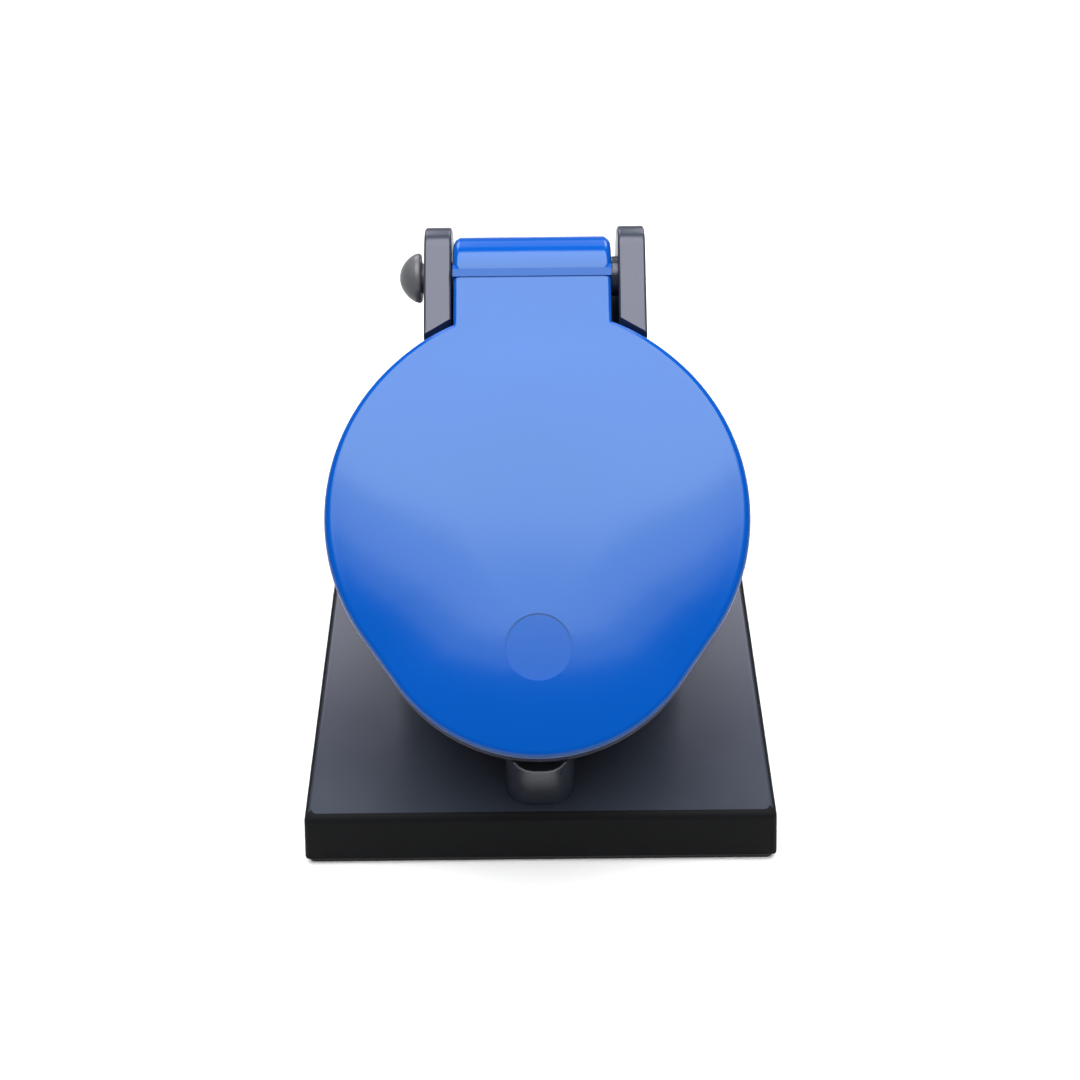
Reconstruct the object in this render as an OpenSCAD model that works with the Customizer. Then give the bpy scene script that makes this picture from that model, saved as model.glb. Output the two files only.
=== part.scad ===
// Angled surface socket outlet, two poles and earth, with a sprung lid.
// It lies on its back plate: +Z leaves the wall, -Y is the lower end, the lid hinges towards +Y.
// The origin is the centre of the wall face. Sizes are in millimetres.

/* [Base] */
// Width of the skirt at the wall
base_w = 84; // [78:1:96]
// Length of the skirt at the wall
base_l = 110; // [106:1:126]
// Height of the flat deck above the wall
deck_z = 12.6; // [12:0.2:16]
// Draft of the skirt on each side
skirt_draft = 1; // [0.5:0.1:1.4]
// Radius of the upright corners of the skirt
skirt_corner_r = 0.9; // [0.6:0.1:3]
// Radius of the edge round the deck
deck_edge_r = 1.2; // [0.6:0.1:1.4]
// Wall of the hood moulding
wall = 2.5; // [2:0.1:3]

/* [Back plate] */
// Thickness of the plate's outer flange
plate_flange_t = 1.2; // [1:0.1:2]
// Height of the plate's inner panel above the wall
plate_top = 3; // [2.8:0.1:3.4]
// Step in from the skirt to the plate's edge
plate_inset = 0.6; // [0.4:0.1:1]
// Thickness of the plate gasket
plate_gasket_t = 0.6; // [0.4:0.1:1]
// Distance between the wall fixing holes across the plate
fixing_x = 56; // [48:1:60]
// Distance between the wall fixing holes along the plate
fixing_y = 84; // [74:1:88]
// Diameter of the wall fixing holes
fixing_d = 5; // [4:0.1:6]

/* [Hood fixing] */
// Distance of the hood screws from the ends and sides of the skirt
hood_screw_inset = 6.2; // [6:0.1:7]
// Thread diameter of the hood screws
hood_screw_d = 4; // [3:0.1:4.4]
// Width of the plate's front hooks
hook_w = 8; // [6:0.5:12]
// Distance between the front hooks
hook_x = 44; // [30:1:50]

/* [Collar] */
// Lean of the socket axis away from the wall's normal
tilt = 35; // [30:1:38]
// Bore of the collar round the plug
collar_bore_d = 52; // [50:0.5:54]
// Wall of the collar
collar_wall = 2.75; // [2.2:0.05:3]
// Height of the sealing lip above the flange
lip_h = 2.5; // [2:0.1:3]
// Thickness of the lid flange
flange_t = 3; // [2:0.1:4]
// Flange showing outside the lid
flange_show = 0.3; // [0.1:0.1:0.6]
// Depth of the plug space below the flange
plug_depth = 38; // [34:0.5:39]
// Width of the keyway
key_w = 7; // [5:0.5:8]
// Depth of the keyway beyond the collar bore
key_depth = 4.5; // [3:0.5:5]
// Length of the keyway below the flange
key_l = 20; // [14:1:26]
// Width of the keel under the keyway
keel_w = 10.4; // [9:0.2:12]
// Keel showing past the lid's tip
keel_show = 1.8; // [1:0.1:2.4]

/* [Lid] */
// Radius of the lid's round part
lid_r = 34.7; // [34:0.1:36]
// Radius of the lid's lower lobe
lobe_r = 28; // [27:0.1:29]
// Distance of the lower lobe's centre below the round part's
lobe_drop = 11.5; // [10:0.1:13]
// Clearance between the lid and the flange
lid_gap = 0.4; // [0.3:0.05:0.8]
// Height of the lid's edge above the flange
lid_h = 6; // [5.6:0.1:6.6]
// Rise of the lid's shallow dome
lid_crown = 2; // [1.4:0.1:2.4]
// Radius of the lid's edge
lid_edge_r = 1.4; // [1:0.1:2]
// Wall of the lid's skirt
lid_wall = 2.2; // [1.8:0.1:2.6]
// Roof height inside the lid, above the flange
lid_roof_z = 4.6; // [4.4:0.1:4.8]
// Diameter of the blank round recess
disc_d = 10.6; // [8:0.2:12]
// Distance of the recess below the lid's centre
disc_drop = 22; // [18:0.5:24]

/* [Hinge] */
// Distance of the hinge pin from the socket axis
hinge_y = 42.5; // [42.2:0.1:44]
// Height of the hinge pin above the flange
hinge_z = -1; // [-1.4:0.1:-0.6]
// Diameter of the hinge pin
pin_d = 5; // [4.4:0.1:5.4]
// Radial clearance of the pin in its bores
pin_fit = 0.05; // [0.03:0.01:0.08]
// Diameter of the pin's head
pin_head_d = 8.4; // [7:0.1:9]
// Length of the pin's head
pin_head_l = 3.8; // [2.4:0.1:4.4]
// Shank showing between the head and the ear
pin_show = 0.7; // [0.4:0.1:1.6]
// Radius of the lid's knuckle
knuckle_r = 6.8; // [6.5:0.1:7]
// Width of the lid's knuckle
knuckle_w = 26.6; // [24:0.1:27]
// Chamfer at the ends of the knuckle
knuckle_edge = 1.1; // [0.5:0.1:1.6]
// Gap between the knuckle and the left ear
knuckle_gap = 0.3; // [0.3:0.05:0.6]
// Distance between the ears
ear_gap = 28.1; // [27.8:0.1:30]
// Thickness of each ear
ear_t = 4.65; // [4:0.05:5]
// Radius of the ears' round ends, and their height in front of the pin
ear_r = 5.2; // [4.8:0.1:5.4]
// Distance from the pin to the centre of the ears' round ends
ear_reach = 3.55; // [3:0.05:4]
// Rounding along the ears' edges
ear_edge = 0.5; // [0.3:0.1:0.8]
// Wire of the lid spring
spring_wire_d = 1; // [0.7:0.05:1.1]
// Mean radius of the lid spring's coil
spring_r = 3.6; // [3.5:0.05:3.8]
// Turns of the lid spring's coil
spring_turns = 4; // [3:1:5]

/* [Contacts] */
// Diameter of the contact carrier's nose
carrier_d = 43; // [42:0.5:44]
// Depth of the carrier's face below the flange
carrier_recess = 3; // [2:0.5:5]
// Radius of the circle of contacts
contact_pitch_r = 11.25; // [10.8:0.05:12]
// Bore of the line and neutral sleeves
pole_bore_d = 5; // [4.6:0.1:5.4]
// Bore of the earth sleeve
earth_bore_d = 7; // [6.6:0.1:7.4]
// Wall of the sleeves
sleeve_wall = 1.2; // [1:0.05:1.4]
// Depth of the sleeves below the carrier's face
sleeve_recess = 3; // [2:0.5:4]
// Thickness of the retainer's flange, the floor of the plug space
retainer_flange_t = 3; // [2.5:0.1:3.5]
// Thickness of the retainer behind its flange
retainer_t = 2.5; // [2:0.1:3]
// Length of the wire pillars behind the retainer
pillar_l = 4.5; // [4.2:0.1:6]
// Clearance between the wire pillars and the back plate
pillar_gap = 2; // [1.5:0.1:4]
// Diameter of the wire holes
wire_d = 3.2; // [2.4:0.1:3.4]

/* [Cable entry] */
// Height of the cable entry above the wall
entry_z = 18; // [17.5:0.1:20]
// Thread diameter of the gland
gland_d = 20; // [18:0.5:21]
// Width across flats of the gland
gland_af = 24; // [22:0.5:25]
// Bore of the gland's seal, the cable's diameter
cable_d = 10; // [8:0.5:11]
// Width of the cable box
box_w = 50; // [44:1:52]
// Height of the cable box over the entry
box_rear_z = 34.5; // [34.5:0.5:37]
// Height of the cable box beside the collar
box_front_z = 40; // [38:0.5:42]

/* [Hidden] */
$fn = 64;

// Colours of the mouldings and metals
grey = [0.34, 0.35, 0.38];
blue = [0.02, 0.33, 0.78];
black = [0.09, 0.09, 0.1];
brass = [0.78, 0.62, 0.3];
steel = [0.72, 0.73, 0.75];
insert_grey = [0.16, 0.17, 0.19];

// Overlap of solids that are joined, and of cutters past a face
eps = 0.1;
// Sliding clearance between pieces that seat in one another
seat = 0.2;

// Stack along the socket axis, measured down from the flange face
lug_t = 3;
lug_z = -plug_depth;
carrier_seat_z = lug_z - lug_t;
retainer_z = carrier_seat_z - retainer_flange_t;
pillar_z = retainer_z - retainer_t;
pillar_end_z = pillar_z - pillar_l;

// Radii of the contacts: bore, sleeve, spring ring, shoulder and pillar
ring_t = 0.7;
shoulder_step = 1.5;
pillar_step = 0.5;
function sleeve_r(bore_d) = bore_d / 2 + sleeve_wall;
function ring_r(bore_d) = sleeve_r(bore_d) + pin_fit + ring_t;
function shoulder_r(bore_d) = sleeve_r(bore_d) + shoulder_step;
function pillar_r(bore_d) = sleeve_r(bore_d) + pillar_step;
// Angles of the contacts: line, neutral and earth, earth on the keyway's side
line_angle = 150;
neutral_angle = 30;
earth_angle = -90;
contacts = [[line_angle, pole_bore_d], [neutral_angle, pole_bore_d], [earth_angle, earth_bore_d]];

// Centre of the flange face: high enough for the pillars to clear the plate, and set
// so that the flange's tip stands over the lower end of the base
tip_reach = lobe_drop + lobe_r + flange_show;
tip_overhang = 2.5;
rim_z = plate_top + pillar_gap - pillar_end_z * cos(tilt)
    + (contact_pitch_r + pillar_r(earth_bore_d)) * sin(tilt);
rim_y = tip_reach * cos(tilt) - base_l / 2 - tip_overhang;

// Keel: its corners, its step below the flange face, the flare of its foot and the foot's place
keel_corner_r = 4.2;
keel_drop = 1.1;
keel_flare = 1;
keel_foot_in = 4.5;
keel_foot_l = 16;
key_lip_lap = 2;

// Collar and carrier radii
bore_r = collar_bore_d / 2;
collar_r = bore_r + collar_wall;
carrier_r = carrier_d / 2;

// Carrier screws go through the retainer's flange into two lugs at the foot of the plug space
carrier_screw_angles = [90, 270];
carrier_screw_d = 2.9;
carrier_screw_head_d = 4.6;
carrier_screw_head_h = 1.6;
carrier_screw_l = 5.2;
lug_r = carrier_r + seat;
lug_w = 8;
lug_roof = 0.6;
carrier_screw_pitch_r = lug_r + carrier_screw_d / 2 + seat;

// Retainer, in the lower bore that takes its flange and the screw heads
head_gap = 0.35;
retainer_lap = 0.5;
retainer_r = carrier_r + retainer_lap;
seat_bore_r = carrier_screw_pitch_r + carrier_screw_head_d / 2 + head_gap;
retainer_flange_r = seat_bore_r - 2 * seat;
retainer_screw_d = 3;
retainer_screw_head_h = 1.8;
retainer_screw_l = 12;

// The collar runs on below the deck to just past the retainer's flange
collar_past = 1;
collar_floor_gap = 2.5;
inner_collar_r = max(collar_r, seat_bore_r + collar_wall);
inner_collar_end = retainer_z - collar_past;
inner_collar_floor = plate_top + collar_floor_gap;

// Skirt
skirt_z = plate_flange_t + plate_gasket_t;
cavity_w = base_w - 2 * wall;
cavity_l = base_l - 2 * wall;
cavity_z = deck_z - wall;

// Hood screws and the plate's bosses
hood_screw_x = base_w / 2 - hood_screw_inset;
hood_screw_y = base_l / 2 - hood_screw_inset;
hood_screw_head_d = 2 * hood_screw_d;
hood_screw_head_h = 2.4;
hood_screw_sink = 3;
post_r = 4.6;
post_gap = 2.6;
post_z = plate_top + post_gap;
boss_step = 1.4;
thread_floor = 0.6;

// Front hooks
hook_t = 2;
hook_gap = 0.5;
hook_nose = 1.2;
hook_nose_h = 2.4;
hook_h = 4.4;
hook_top_z = plate_top + hook_h;
hook_slot_back = 1;

// Cable box
box_r = 4;
box_set_in = 0.5;
box_lap = 8;
box_back_run = 16;
box_foot = 2;
box_sink = 3;
boss_proud = 1;
boss_rim = 2.2;
box_rear_y = base_l / 2 - box_set_in;
box_front_y = rim_y + (collar_r + box_back_run) * cos(tilt) + box_lap;
boss_face_y = base_l / 2 + boss_proud;
boss_r = gland_af / 2 + boss_rim;

// Hinge: the knuckle leans on the left ear
pin_tip_sink = 0.6;
crease_back = 2.2;
crease_drop = 0.25;
crease_step = 0.25;
neck_lap = 1;
neck_fall = 5;
bay_gap = 1;
spring_leg_l = 1.2;
spring_leg_gap = 0.5;
spring_leg_run = 4;
spring_foot_drop = 13;
spring_foot_z = hinge_z - spring_foot_drop;
web_drop = 11.5;
web_lap = 2;
web_z = hinge_z - web_drop;
web_t = 2.5;
boss_in = 0.9;
ear_root_run = 6;
ear_foot_sink = 1.6;
ear_foot_drop = 3;
swing_gap = 0.5;
ear_in_x = ear_gap / 2;
ear_out_x = ear_in_x + ear_t;
knuckle_x0 = -ear_in_x + knuckle_gap;
pin_tip_x = ear_out_x - pin_tip_sink;
pin_head_x = -ear_out_x - pin_show;
knuckle_x1 = knuckle_x0 + knuckle_w;
crease_y = hinge_y - crease_back;
neck_end_y = crease_y + neck_lap;
crease_z = hinge_z + knuckle_r - crease_drop;
spring_pitch = spring_wire_d * 1.25;
spring_bay_w = (spring_turns + 1) * spring_pitch + 2 * bay_gap;
spring_bay_r = spring_r + spring_wire_d / 2 + bay_gap;
spring_slot_y = lid_r - seat;
spring_leg_y = spring_slot_y - spring_leg_l;
web_y = hinge_y + spring_r - spring_wire_d / 2 - pin_fit;

// Lid gasket: its rim laps past the collar's lip, inside the lid's wall
gasket_lap = 1.2;
gasket_bore_lap = 1.6;
gasket_gap = 0.15;
gasket_tab_lap = 1;
gasket_r = min(collar_r + gasket_lap, lid_r - lid_wall - seat);

// Round dish in the lid's roof, inside the gasket
dish_in = 2;
dish_t = 1;

// Lid dome, and the reach of its blend into the neck
dome_run = lobe_r * 0.8;
dome_rings = 9;
rim_steps = 24;
neck_steps = 8;
lobe_steps = 20;
egg_a = asin((lid_r - lobe_r) / lobe_drop);
blend_run = 12;
blend_side = 13;

// Floor of the blank recess: its share of the crown, and its lean along the dome
disc_rise = 0.75;
disc_lean = 3;

// Gland
gland_hex_t = 4.5;
gland_thread_l = 9.5;
gland_bore_gap = 0.9;
gland_bore_r = cable_d / 2 + gland_bore_gap;
spigot_step = 1.2;
spigot_r = gland_d / 2 - spigot_step;
spigot_wall = 1.2;
spigot_l = 7;
seal_r = spigot_r - spigot_wall;
seal_floor = 1;
seal_proud = 0.6;
spigot_y = boss_face_y + gland_hex_t;
nut_l = 12;
nut_step = 1;
nut_mouth_gap = 0.4;
nut_roof_gap = 0.8;
nut_lip = 1.2;
nut_nose = 1.6;
locknut_t = 3.4;

// Points along an arc
function arc(centre, r, from, to, steps) =
    [for (i = [0 : steps]) let (a = from + (to - from) * i / steps) centre + r * [cos(a), sin(a)]];

// The lid's egg outline, grown or shrunk all round
function egg(grow) = concat(
    arc([0, 0], lid_r + grow, -egg_a, 180 + egg_a, 44),
    arc([0, -lobe_drop], lobe_r + grow, 180 + egg_a, 360 - egg_a, 20));

// A rectangle with round corners
function rounded_rect(w, l, r) = concat(
    arc([w / 2 - r, l / 2 - r], r, 0, 90, 5),
    arc([r - w / 2, l / 2 - r], r, 90, 180, 5),
    arc([r - w / 2, r - l / 2], r, 180, 270, 5),
    arc([w / 2 - r, r - l / 2], r, 270, 360, 5));

function at_z(outline, z) = [for (p = outline) [p[0], p[1], z]];
function flip(list) = [for (i = [len(list) - 1 : -1 : 0]) list[i]];

// A solid skinned over rings of equal length. A hollowed floor is given as convex faces.
module loft(rings, floor_faces = []) {
    n = len(rings[0]);
    last = len(rings) - 1;
    sides = [for (k = [0 : last - 1], i = [0 : n - 1])
        let (a = k * n + i, b = k * n + (i + 1) % n)
        each [[a, a + n, b + n], [a, b + n, b]]];
    floors = len(floor_faces) > 0 ? floor_faces : [[for (i = [0 : n - 1]) i]];
    roof_face = flip([for (i = [0 : n - 1]) last * n + i]);
    polyhedron([for (ring = rings) each ring], concat(sides, floors, [roof_face]));
}

// Places children in the collar's frame: origin on the flange face, +Z out of the socket
module on_collar() {
    translate([0, rim_y, rim_z]) rotate([tilt, 0, 0]) children();
}

// Extrudes a side profile, drawn in Y and Z, along X
module along_x(x0, length) {
    translate([x0, 0, 0]) rotate([90, 0, 90]) linear_extrude(length) children();
}

// A rod along X
module rod_x(x0, length, r, y, z) {
    translate([x0, y, z]) rotate([0, 90, 0]) cylinder(r = r, h = length);
}

// Places children on the gland's axis, +Z pointing out of the cable box
module on_entry(y) {
    translate([0, y, entry_z]) rotate([-90, 0, 0]) children();
}

module mirrored_x() {
    children();
    mirror([1, 0, 0]) children();
}

module at_contact(c) {
    translate([contact_pitch_r * cos(c[0]), contact_pitch_r * sin(c[0]), 0]) children();
}

module at_carrier_screws() {
    for (a = carrier_screw_angles) rotate(a) translate([carrier_screw_pitch_r, 0, 0]) children();
}

module hex(af, h) {
    cylinder(d = af / cos(30), h = h, $fn = 6);
}

// Back plate

module hook() {
    front_y = -cavity_l / 2 + hook_gap;
    translate([hook_x / 2 - hook_w / 2, front_y, plate_top - eps])
        cube([hook_w, hook_t, hook_top_z - plate_top + eps]);
    translate([hook_x / 2 - hook_w / 2, front_y - hook_nose, hook_top_z - hook_nose_h])
        cube([hook_w, hook_nose + eps, hook_nose_h]);
}

module back_plate() {
    color(black) difference() {
        union() {
            linear_extrude(plate_flange_t)
                polygon(rounded_rect(base_w - 2 * plate_inset, base_l - 2 * plate_inset, skirt_corner_r));
            linear_extrude(plate_top)
                polygon(rounded_rect(cavity_w - 4 * seat, cavity_l - 4 * seat, skirt_corner_r));
            mirrored_x() hook();
            mirrored_x() translate([hood_screw_x - seat, hood_screw_y - seat, 0])
                cylinder(r = post_r - boss_step, h = post_z - seat);
        }
        for (sx = [-1, 1], sy = [-1, 1])
            translate([sx * fixing_x / 2, sy * fixing_y / 2, -eps])
                cylinder(d = fixing_d, h = plate_top + 2 * eps);
        mirrored_x() translate([hood_screw_x, hood_screw_y, plate_flange_t])
            cylinder(d = hood_screw_d + 2 * pin_fit, h = post_z);
    }
}

module plate_gasket() {
    edge = 2 * plate_inset + 2 * seat;
    color(black) translate([0, 0, plate_flange_t]) linear_extrude(plate_gasket_t) difference() {
        polygon(rounded_rect(base_w - edge, base_l - edge, skirt_corner_r));
        polygon(rounded_rect(cavity_w - seat, cavity_l - seat, skirt_corner_r));
    }
}

// Hood

function skirt_ring(z, step) = let (in = skirt_draft * (z - skirt_z) / (deck_z - skirt_z) + step)
    at_z(rounded_rect(base_w - 2 * in, base_l - 2 * in, skirt_corner_r), z);

module skirt() {
    edge_z = deck_z - deck_edge_r;
    loft(concat([skirt_ring(skirt_z, 0)],
        [for (a = [0 : 30 : 90]) skirt_ring(edge_z + deck_edge_r * sin(a), deck_edge_r * (1 - cos(a)))]));
}

module collar_tube(r, from_z, to_z, floor_z) {
    intersection() {
        on_collar() translate([0, 0, from_z]) cylinder(r = r, h = to_z - from_z);
        translate([-base_w, -2 * base_l, floor_z]) cube([2 * base_w, 4 * base_l, 4 * rim_z]);
    }
}

// The flange makes way for the lid spring's coil where it reaches that far
module flange() {
    difference() {
        translate([0, 0, -flange_t]) linear_extrude(flange_t) polygon(egg(flange_show));
        rod_x(-spring_bay_w / 2, spring_bay_w, spring_r + spring_wire_d / 2 + seat, hinge_y, hinge_z);
    }
}

// Lip round the keyway, level with the collar's lip
module key_lip() {
    translate([-key_w / 2 - collar_wall, -bore_r - key_depth - collar_wall, -flange_t])
        cube([key_w + 2 * collar_wall, key_depth + collar_wall + key_lip_lap, flange_t + lip_h]);
}

module keyway() {
    translate([-key_w / 2, -bore_r - key_depth, -key_l]) cube([key_w, bore_r, key_l + lip_h + eps]);
}

// Keel that carries the flange's tip down to the deck, widening with its draft
module keel() {
    foot_w = keel_w + 2 * keel_flare;
    foot_y = -base_l / 2 + keel_foot_in;
    reach = tip_reach + keel_show;
    slice = 1;
    hull() {
        on_collar() translate([0, 0, -flange_t]) {
            mirrored_x() translate([keel_w / 2 - keel_corner_r, keel_corner_r - reach, 0])
                cylinder(r = keel_corner_r, h = flange_t - keel_drop, $fn = 20);
            translate([-keel_w / 2, -bore_r, 0]) cube([keel_w, slice, flange_t - keel_drop]);
        }
        mirrored_x() translate([foot_w / 2 - keel_corner_r, foot_y + keel_corner_r, cavity_z])
            cylinder(r = keel_corner_r, h = wall - eps, $fn = 20);
        translate([-foot_w / 2, foot_y + keel_foot_l, cavity_z]) cube([foot_w, slice, wall - eps]);
    }
}

// Radius about the pin that stays clear of the swinging lid's edge
function swing_r(x) = norm([hinge_y - sqrt(lid_r * lid_r - x * x), hinge_z - lid_gap]) - swing_gap;

// Side profile of the ear's head, flat in front and round at its end, at a turn of its edge's rounding
function ear_ring(face_x, side, turn) =
    let (r = ear_r - ear_edge * (1 - sin(turn)), low_y = hinge_y - lid_r / 2)
    [for (p = concat(arc([hinge_y + ear_reach, hinge_z], r, -90, 90, 16),
        [[low_y, hinge_z + r], [low_y, hinge_z - r]]))
        [face_x + side * ear_edge * (1 - cos(turn)), p[0], p[1]]];

// Ear round the hinge pin, cut back for the lid's swing, with its gusset down the back of the collar
module ear() {
    root_y = bore_r - ear_root_run;
    foot_y = collar_r - ear_foot_sink;
    foot_z = lug_z - ear_foot_drop;
    intersection() {
        loft(concat([for (a = [0 : 30 : 90]) ear_ring(ear_in_x, 1, a)],
            [for (a = [90 : -30 : 0]) ear_ring(ear_out_x, -1, a)]));
        translate([ear_in_x, hinge_y, hinge_z]) rotate([0, 90, 0])
            cylinder(r1 = swing_r(ear_in_x), r2 = swing_r(ear_out_x), h = ear_t);
    }
    along_x(ear_in_x, ear_t) polygon(concat(
        arc([hinge_y + ear_reach, hinge_z], ear_r - 2 * ear_edge, -30, 90, 12),
        [[hinge_y - ear_r, -lid_gap], [lid_r - ear_root_run, -flange_t / 2], [root_y, -flange_t],
        [root_y, foot_z], [foot_y, foot_z]]));
}

// Web between the ears that the spring's foot leans on
module ear_web() {
    translate([-ear_in_x - eps, bore_r - web_lap, web_z])
        cube([ear_gap + 2 * eps, web_y - bore_r + web_lap, web_t]);
}

// Small boss inside the right ear
module ear_boss() {
    rod_x(ear_in_x - boss_in, boss_in + eps, pin_d / 2 + boss_in, hinge_y, hinge_z);
}

module cable_box(r) {
    slice = 1;
    foot_z = skirt_z + box_foot;
    hull() for (sx = [-1, 1], end = [[box_front_y, box_front_z], [box_rear_y - box_r, box_rear_z]])
        translate([sx * (box_w / 2 - box_r), end[0], foot_z]) {
            cylinder(r = r, h = slice, $fn = 24);
            translate([0, 0, end[1] - box_r - foot_z]) sphere(r = r, $fn = 24);
        }
}

module entry_boss() {
    on_entry(box_rear_y - box_r) cylinder(r = boss_r, h = boss_face_y - box_rear_y + box_r);
}

module hood_outside() {
    skirt();
    collar_tube(collar_r, -2 * plug_depth, lip_h, cavity_z);
    collar_tube(inner_collar_r, inner_collar_end, lug_z, inner_collar_floor);
    keel();
    cable_box(box_r);
    intersection() {
        entry_boss();
        translate([-boss_r - 1, 0, skirt_z]) cube([2 * boss_r + 2, base_l, 3 * boss_r]);
    }
    on_collar() {
        flange();
        key_lip();
        mirrored_x() ear();
        ear_web();
        ear_boss();
    }
}

module hood_hollow() {
    difference() {
        union() {
            translate([-cavity_w / 2, -cavity_l / 2, skirt_z - 1])
                cube([cavity_w, cavity_l, cavity_z - skirt_z + 1]);
            cable_box(box_r - wall);
            translate([0, 0, -box_sink]) cable_box(box_r - wall);
        }
        on_collar() translate([0, 0, inner_collar_end]) cylinder(r = inner_collar_r, h = 2 * plug_depth);
    }
}

module hood_bores() {
    on_collar() {
        difference() {
            translate([0, 0, carrier_seat_z - eps])
                cylinder(r = bore_r, h = lip_h - carrier_seat_z + 2 * eps);
            for (a = carrier_screw_angles) rotate(a) translate([lug_r, -lug_w / 2, carrier_seat_z - 2 * eps])
                cube([collar_r - lug_r, lug_w, lug_t + 2 * eps]);
        }
        translate([0, 0, carrier_seat_z - plug_depth]) cylinder(r = seat_bore_r, h = plug_depth);
        at_carrier_screws() translate([0, 0, carrier_seat_z - eps])
            cylinder(d = carrier_screw_d + 2 * pin_fit, h = lug_t - lug_roof + eps);
        keyway();
        rod_x(-ear_out_x - eps, 2 * ear_out_x + 2 * eps, pin_d / 2 + pin_fit, hinge_y, hinge_z);
    }
    on_entry(box_rear_y - 2 * box_r) cylinder(d = gland_d + 2 * seat, h = 4 * box_r);
}

module hood() {
    color(grey) difference() {
        union() {
            difference() {
                hood_outside();
                hood_hollow();
            }
            mirrored_x() translate([hood_screw_x, hood_screw_y, post_z])
                cylinder(r = post_r, h = deck_z - post_z - eps);
        }
        hood_bores();
        mirrored_x() translate([hood_screw_x, hood_screw_y, post_z - eps]) {
            cylinder(d = hood_screw_d + 2 * seat, h = deck_z);
            translate([0, 0, deck_z - hood_screw_sink - post_z])
                cylinder(d = hood_screw_head_d + 2 * seat, h = deck_z);
        }
        mirrored_x() translate([hook_x / 2 - hook_w / 2 - seat, -cavity_l / 2 - hook_slot_back,
            hook_top_z - hook_nose_h - seat])
            cube([hook_w + 2 * seat, 2 * hook_slot_back, hook_nose_h + 2 * seat]);
    }
}

// A pan head screw with a cross slot, pointing down from the underside of its head
module pan_screw(d, head_d, head_h, length) {
    slot_w = d * 0.22;
    difference() {
        union() {
            translate([0, 0, -length]) cylinder(d = d, h = length + eps);
            cylinder(d = head_d, h = head_h);
        }
        for (a = [0, 90]) rotate(a) translate([-head_d * 0.3, -slot_w / 2, head_h * 0.5])
            cube([head_d * 0.6, slot_w, head_h]);
    }
}

module hood_screws() {
    head_z = deck_z - hood_screw_sink;
    color(steel) mirrored_x() translate([hood_screw_x, hood_screw_y, head_z])
        pan_screw(hood_screw_d, hood_screw_head_d, hood_screw_head_h, head_z - plate_flange_t - thread_floor);
}

// Contacts and their carrier

module contact_carrier() {
    sleeve_z = -carrier_recess - sleeve_recess;
    color(insert_grey) on_collar() difference() {
        translate([0, 0, carrier_seat_z]) cylinder(r = carrier_r, h = -carrier_recess - carrier_seat_z);
        for (c = contacts) at_contact(c) {
            translate([0, 0, carrier_seat_z - eps])
                cylinder(r = ring_r(c[1]) + seat / 2, h = sleeve_z - carrier_seat_z + eps);
            translate([0, 0, sleeve_z - eps]) cylinder(d = c[1] + 4 * seat, h = sleeve_recess + 2 * eps);
        }
        translate([0, 0, pillar_z]) cylinder(d = retainer_screw_d + 2 * pin_fit, h = retainer_screw_l + seat);
    }
}

module carrier_screws() {
    color(steel) on_collar() at_carrier_screws() translate([0, 0, retainer_z]) rotate([180, 0, 0])
        pan_screw(carrier_screw_d, carrier_screw_head_d, carrier_screw_head_h, carrier_screw_l);
}

// Stepped plate that clamps the contacts' shoulders under the carrier and closes the plug space
module contact_retainer() {
    color(black) on_collar() difference() {
        union() {
            translate([0, 0, retainer_z]) cylinder(r = retainer_flange_r, h = retainer_flange_t);
            translate([0, 0, pillar_z]) cylinder(r = retainer_r, h = retainer_t + eps);
        }
        for (c = contacts) at_contact(c) {
            translate([0, 0, retainer_z])
                cylinder(r = shoulder_r(c[1]) + pin_fit, h = retainer_flange_t + eps);
            translate([0, 0, pillar_z - eps])
                cylinder(r = pillar_r(c[1]) + seat / 2, h = retainer_t + 2 * eps);
        }
        at_carrier_screws() {
            translate([0, 0, retainer_z - eps])
                cylinder(d = carrier_screw_d + 2 * seat, h = retainer_flange_t + 2 * eps);
            translate([0, 0, pillar_z - eps])
                cylinder(r = carrier_screw_head_d / 2 + 3 * seat, h = retainer_t + eps);
        }
        translate([0, 0, pillar_z - eps])
            cylinder(d = retainer_screw_d + 2 * seat, h = retainer_t + retainer_flange_t + 2 * eps);
    }
}

module retainer_screw() {
    color(steel) on_collar() translate([0, 0, pillar_z]) rotate([180, 0, 0])
        pan_screw(retainer_screw_d, 1.8 * retainer_screw_d, retainer_screw_head_h, retainer_screw_l);
}

// Height of the terminal screw's axis, in the middle of the pillar
screw_z = pillar_z - pillar_l / 2;
terminal_screw_d = 2.6;

// Turned sleeve with its shoulder, wire pillar and the cross hole of the clamp screw
module contact(c) {
    front_z = -carrier_recess - sleeve_recess;
    back_z = retainer_z + retainer_flange_t / 2;
    color(brass) on_collar() at_contact(c) difference() {
        union() {
            translate([0, 0, retainer_z]) cylinder(r = sleeve_r(c[1]), h = front_z - retainer_z);
            translate([0, 0, retainer_z]) cylinder(r = shoulder_r(c[1]), h = retainer_flange_t);
            translate([0, 0, pillar_end_z]) cylinder(r = pillar_r(c[1]), h = retainer_z - pillar_end_z + eps);
        }
        translate([0, 0, back_z]) cylinder(d = c[1], h = front_z - back_z + eps);
        translate([0, 0, pillar_end_z - eps]) cylinder(d = wire_d, h = pillar_l + 2 * eps);
        translate([0, 0, screw_z]) rotate([90, 0, 0])
            cylinder(d = terminal_screw_d + 2 * pin_fit, h = 2 * pillar_r(c[1]));
    }
}

module line_contact() {
    contact(contacts[0]);
}

module neutral_contact() {
    contact(contacts[1]);
}

module earth_contact() {
    contact(contacts[2]);
}

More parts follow.
